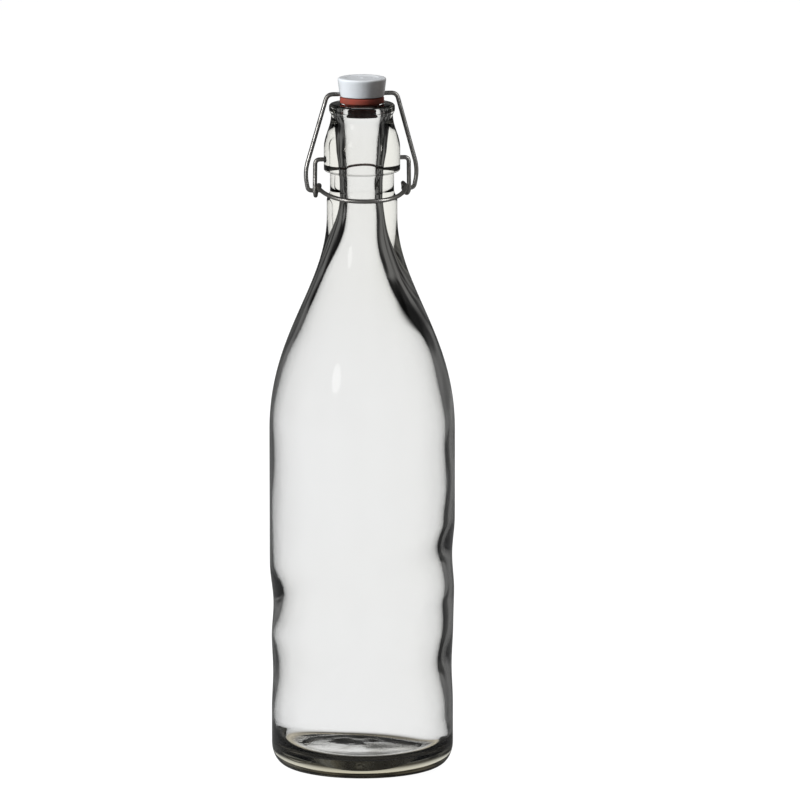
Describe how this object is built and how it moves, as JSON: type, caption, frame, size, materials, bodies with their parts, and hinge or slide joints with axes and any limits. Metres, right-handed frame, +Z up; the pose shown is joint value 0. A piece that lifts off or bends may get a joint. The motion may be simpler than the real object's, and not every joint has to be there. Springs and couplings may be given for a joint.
{
  "type": "swing-top growler",
  "caption": "Slim clear-glass bottle with a long neck, soft grip grooves low on its body, and a hinged wire closure that clamps a stopper and rubber gasket on its mouth.",
  "frame": {"origin": "on the bottle's axis, in the plane it stands on", "axes": "+Z up along the bottle's axis, +X and -X through the closure's hinge points, -Y towards the lever's hoop"},
  "size_m": [0.085, 0.085, 0.3185],
  "materials": {
    "clear_glass": "polished",
    "steel_wire": "drawn wire, satin",
    "white_plastic": "gloss",
    "red_rubber": "matte"
  },
  "bodies": {
    "bottle": {"bottle": "clear_glass"},
    "lever": {"lever_wire": "steel_wire"},
    "bail": {"bail_wire": "steel_wire"},
    "stopper": {"stopper_head": "white_plastic", "gasket": "red_rubber"}
  },
  "joints": [
    {"name": "lever_swing", "type": "hinge", "parent": "bottle", "child": "lever", "pos_m": [0, 0, 0.2813], "axis": [-1, 0, 0], "range_deg": [0, 90]},
    {"name": "bail_swing", "type": "hinge", "parent": "lever", "child": "bail", "pos_m": [0, 0.00255, 0.2667], "axis": [-1, 0, 0], "range_deg": [-62, 0]},
    {"name": "stopper_tilt", "type": "hinge", "parent": "bail", "child": "stopper", "pos_m": [0, 0, 0.3111], "axis": [-1, 0, 0], "range_deg": [-29, 0]}
  ],
  "couplings": [
    {"joint": "bail_swing", "follows": "lever_swing", "ratio": -0.68},
    {"joint": "stopper_tilt", "follows": "lever_swing", "ratio": -0.32}
  ]
}
